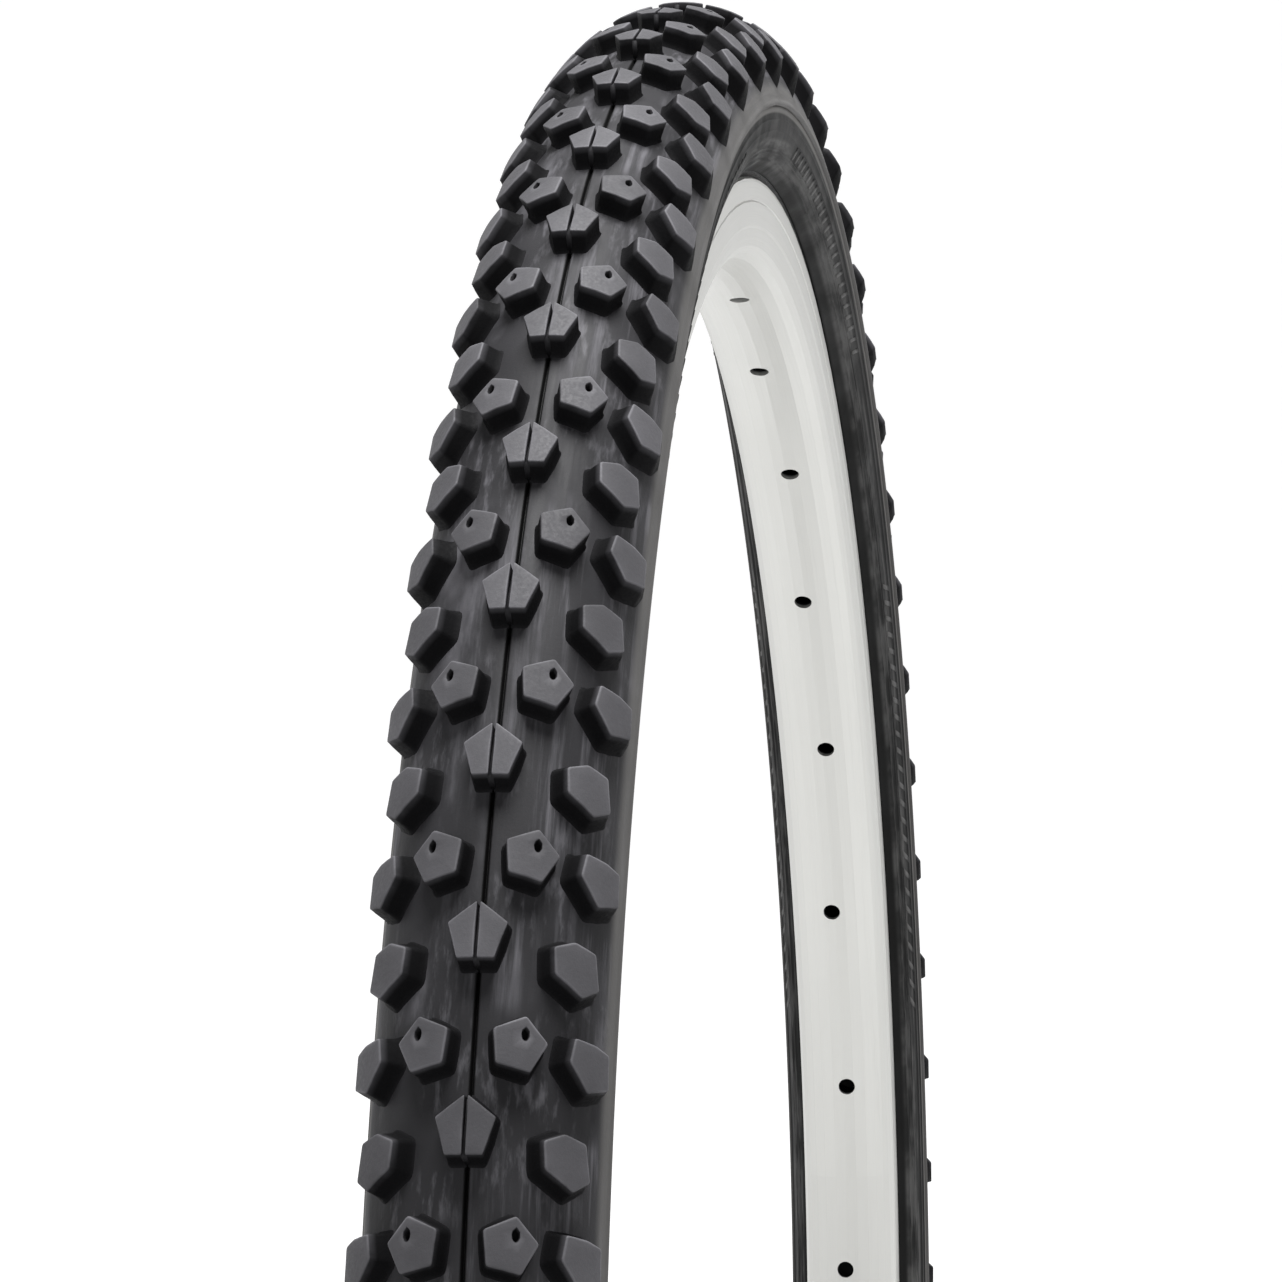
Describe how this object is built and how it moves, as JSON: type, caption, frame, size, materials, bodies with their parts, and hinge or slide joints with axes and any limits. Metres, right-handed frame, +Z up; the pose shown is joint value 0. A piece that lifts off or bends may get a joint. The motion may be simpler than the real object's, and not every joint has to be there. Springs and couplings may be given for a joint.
{
  "type": "bicycle tire",
  "caption": "Knobbly bicycle tire mounted on its bare double-wall rim, with casing, beads, inner tube and a valve whose pin presses and whose cap unscrews.",
  "frame": {"origin": "centre of the wheel, where the spin axis meets the rim's middle plane", "axes": "+Y along the spin axis to the left side, +Z up with the valve at the bottom (-Z) pointing at the hub, +X forwards"},
  "size_m": [0.6428, 0.0402, 0.6428],
  "materials": {
    "rim_alloy": "satin silver anodised, with lightly turned brake tracks",
    "sleeve_alloy": "plain extruded",
    "rim_strip": "soft strip",
    "bead_steel": "coppered wire",
    "casing_cloth": "rubbered cord ply",
    "breaker_cloth": "rubbered woven strip",
    "chafer_cloth": "rubbered square weave",
    "sidewall_rubber": "smooth moulded rubber, slightly dusty",
    "tread_rubber": "matt moulded rubber with faint scuffs",
    "knob_rubber": "matt moulded rubber, tops worn a little lighter",
    "tube_rubber": "talc-dusted butyl",
    "jacket_rubber": "smooth moulded rubber",
    "valve_brass": "turned",
    "core_brass": "turned",
    "gasket_plastic": "waxy",
    "seal_rubber": "smooth",
    "spring_steel": "drawn wire",
    "cap_plastic": "ribbed moulded plastic"
  },
  "bodies": {
    "tire_on_rim": {"rim": "rim_alloy", "rim_joint_sleeve": "sleeve_alloy", "rim_strip": "rim_strip", "bead_wires_left": "bead_steel", "bead_wires_right": "bead_steel", "casing_inner_ply": "casing_cloth", "casing_outer_ply": "casing_cloth", "breaker_strip": "breaker_cloth", "chafer_left": "chafer_cloth", "chafer_right": "chafer_cloth", "sidewall_left": "sidewall_rubber", "sidewall_right": "sidewall_rubber", "tread_band": "tread_rubber", "centre_knobs": "knob_rubber", "transition_knobs": "knob_rubber", "shoulder_knobs_left": "knob_rubber", "shoulder_knobs_right": "knob_rubber", "inner_tube": "tube_rubber", "valve_jacket": "jacket_rubber", "valve_stem": "valve_brass", "core_plug": "core_brass", "core_barrel": "core_brass", "core_gasket": "gasket_plastic", "core_spring": "spring_steel"},
    "core_pin": {"core_pin": "core_brass", "core_cup": "seal_rubber"},
    "cap_seal": {"cap_seal": "seal_rubber"},
    "valve_cap": {"valve_cap": "cap_plastic"}
  },
  "joints": [
    {"name": "pin_press", "type": "slide", "parent": "tire_on_rim", "child": "core_pin", "axis": [0, 0, -1], "range_m": [0, 0.0015], "stiffness_N_per_m": 1200, "springref_m": -0.0015, "deforming": ["core_spring"]},
    {"name": "cap_travel", "type": "slide", "parent": "tire_on_rim", "child": "cap_seal", "axis": [0, 0, 1], "range_m": [0, 0.00635]},
    {"name": "cap_turn", "type": "hinge", "parent": "cap_seal", "child": "valve_cap", "pos_m": [0, 0, -0.2475], "axis": [0, 0, 1], "range_deg": [0, 2880]}
  ],
  "couplings": [
    {"joint": "cap_turn", "follows": "cap_travel", "rad_per_m": 7913.3}
  ]
}
